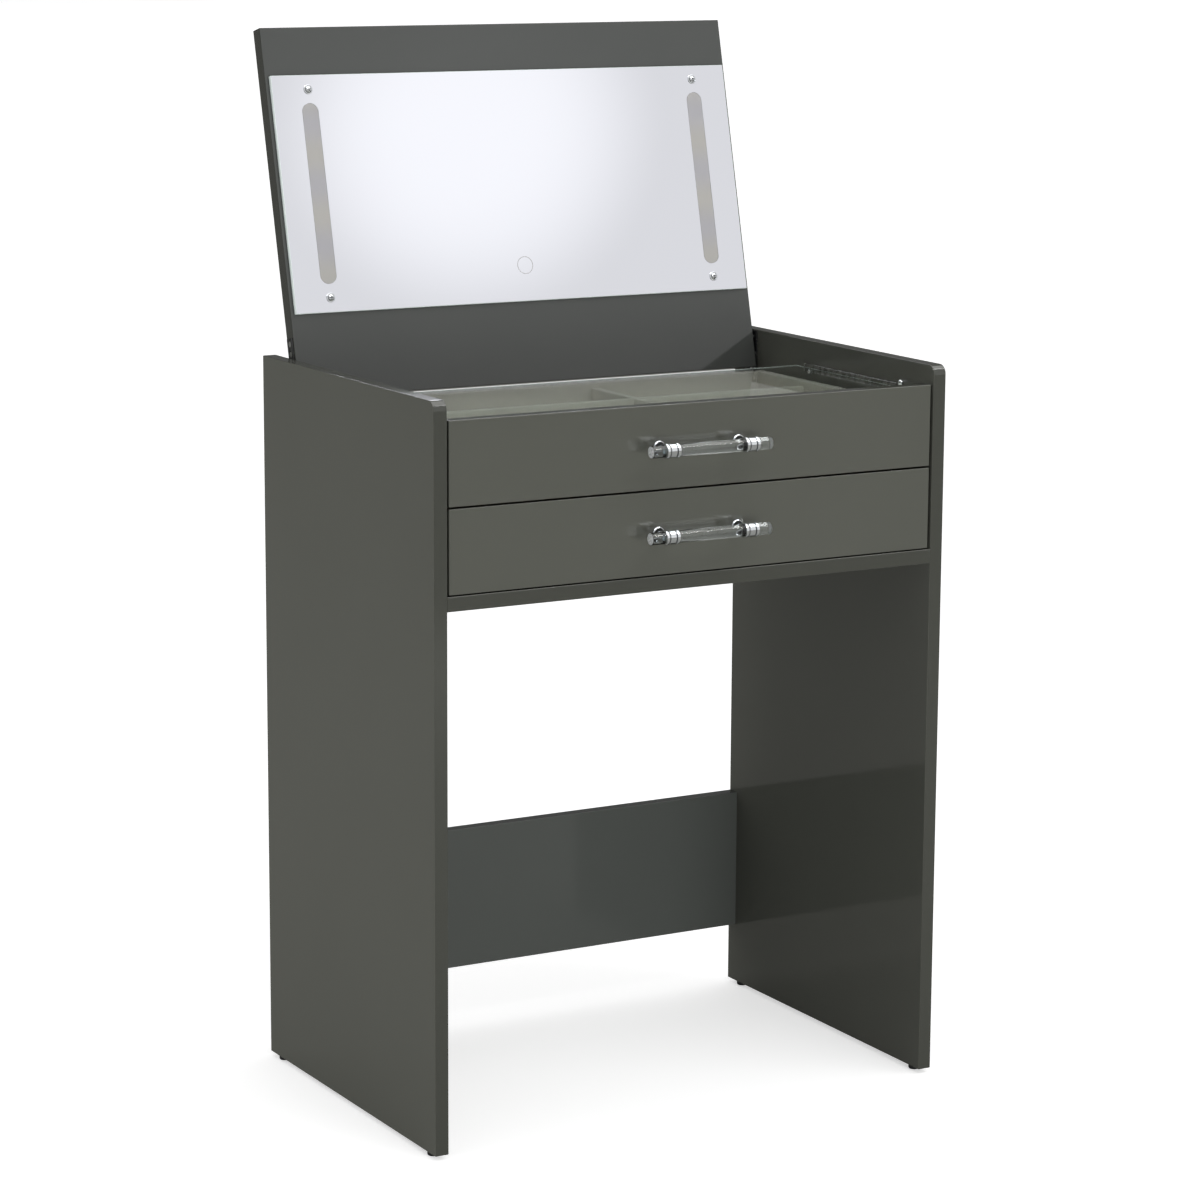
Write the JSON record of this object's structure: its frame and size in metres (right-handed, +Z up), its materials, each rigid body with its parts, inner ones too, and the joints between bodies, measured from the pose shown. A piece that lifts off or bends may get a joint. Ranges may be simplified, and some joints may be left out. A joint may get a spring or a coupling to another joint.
{
  "type": "vanity table with mirror",
  "caption": "Small dressing table with two panel sides, drawers with clear bar handles, a glass top and a tilting lid with a lit mirror.",
  "frame": {"origin": "on the floor, under the middle of the whole table with its lid open and its drawers shut", "axes": "+X to the right as seen from the drawer fronts, +Y to the back, +Z up"},
  "size_m": [0.6, 0.483, 1.1099],
  "materials": {
    "lacquered_board": "dark grey gloss lacquer",
    "drawer_liner": "light warm grey foil",
    "glass": "clear with ground edges",
    "mirror": "silvered",
    "acrylic": "clear polished",
    "chrome": "polished",
    "zinc_steel": "zinc plated",
    "black_steel": "black painted",
    "glide_plastic": "moulded",
    "bead_plastic": "satin dark grey",
    "black_plastic": "moulded",
    "wire": "insulated wire",
    "light_strip": "white board with light sources",
    "diffuser": "frosted"
  },
  "bodies": {
    "case": {"bottom_shelf": "lacquered_board", "cam_bolts": "zinc_steel", "cam_locks": "zinc_steel", "case_back_panel": "lacquered_board", "case_hinge_screws": "zinc_steel", "foot_glides": "glide_plastic", "glass_bead_studs": "chrome", "glass_retaining_beads": "bead_plastic", "glass_support_pins": "chrome", "glass_top": "glass", "hinge_pins": "zinc_steel", "left_case_hinge_plate": "black_steel", "left_side_panel": "lacquered_board", "lower_left_slide_outer": "zinc_steel", "lower_right_slide_outer": "zinc_steel", "modesty_panel": "lacquered_board", "right_case_hinge_plate": "black_steel", "right_side_panel": "lacquered_board", "slide_screws": "zinc_steel", "upper_left_slide_outer": "zinc_steel", "upper_right_slide_outer": "zinc_steel"},
    "lid": {"led_diffusers": "diffuser", "led_strips": "light_strip", "led_wiring": "wire", "left_lid_hinge_plate": "black_steel", "lid_hinge_screws": "zinc_steel", "lid_panel": "lacquered_board", "mirror_plate": "mirror", "mirror_screw_caps": "chrome", "mirror_screws": "zinc_steel", "power_inlet": "black_plastic", "right_lid_hinge_plate": "black_steel", "touch_switch": "black_plastic"},
    "upper_drawer": {"upper_cross_divider": "drawer_liner", "upper_drawer_back": "drawer_liner", "upper_drawer_bottom": "drawer_liner", "upper_drawer_front": "lacquered_board", "upper_drawer_left_side": "drawer_liner", "upper_drawer_right_side": "drawer_liner", "upper_handle_bar": "acrylic", "upper_handle_screws": "zinc_steel", "upper_left_handle_post": "chrome", "upper_left_slide_inner": "zinc_steel", "upper_long_divider": "drawer_liner", "upper_right_handle_post": "chrome", "upper_right_slide_inner": "zinc_steel"},
    "lower_drawer": {"lower_drawer_back": "drawer_liner", "lower_drawer_bottom": "drawer_liner", "lower_drawer_front": "lacquered_board", "lower_drawer_left_side": "drawer_liner", "lower_drawer_right_side": "drawer_liner", "lower_handle_bar": "acrylic", "lower_handle_screws": "zinc_steel", "lower_left_handle_post": "chrome", "lower_left_slide_inner": "zinc_steel", "lower_right_handle_post": "chrome", "lower_right_slide_inner": "zinc_steel"},
    "upper_retainers": {"upper_slide_retainers": "zinc_steel"},
    "lower_retainers": {"lower_slide_retainers": "zinc_steel"}
  },
  "joints": [
    {"name": "lid_hinge", "type": "hinge", "parent": "case", "child": "lid", "pos_m": [0, 0.14989, 0.7605], "axis": [1, 0, 0], "range_deg": [0, 103.5]},
    {"name": "upper_drawer_slide", "type": "slide", "parent": "case", "child": "upper_drawer", "axis": [0, -1, 0], "range_m": [0, 0.22]},
    {"name": "lower_drawer_slide", "type": "slide", "parent": "case", "child": "lower_drawer", "axis": [0, -1, 0], "range_m": [0, 0.22]},
    {"name": "upper_retainer_roll", "type": "slide", "parent": "case", "child": "upper_retainers", "axis": [0, -1, 0], "range_m": [0, 0.11]},
    {"name": "lower_retainer_roll", "type": "slide", "parent": "case", "child": "lower_retainers", "axis": [0, -1, 0], "range_m": [0, 0.11]}
  ],
  "couplings": [
    {"joint": "upper_retainer_roll", "follows": "upper_drawer_slide", "ratio": 0.5},
    {"joint": "lower_retainer_roll", "follows": "lower_drawer_slide", "ratio": 0.5}
  ]
}
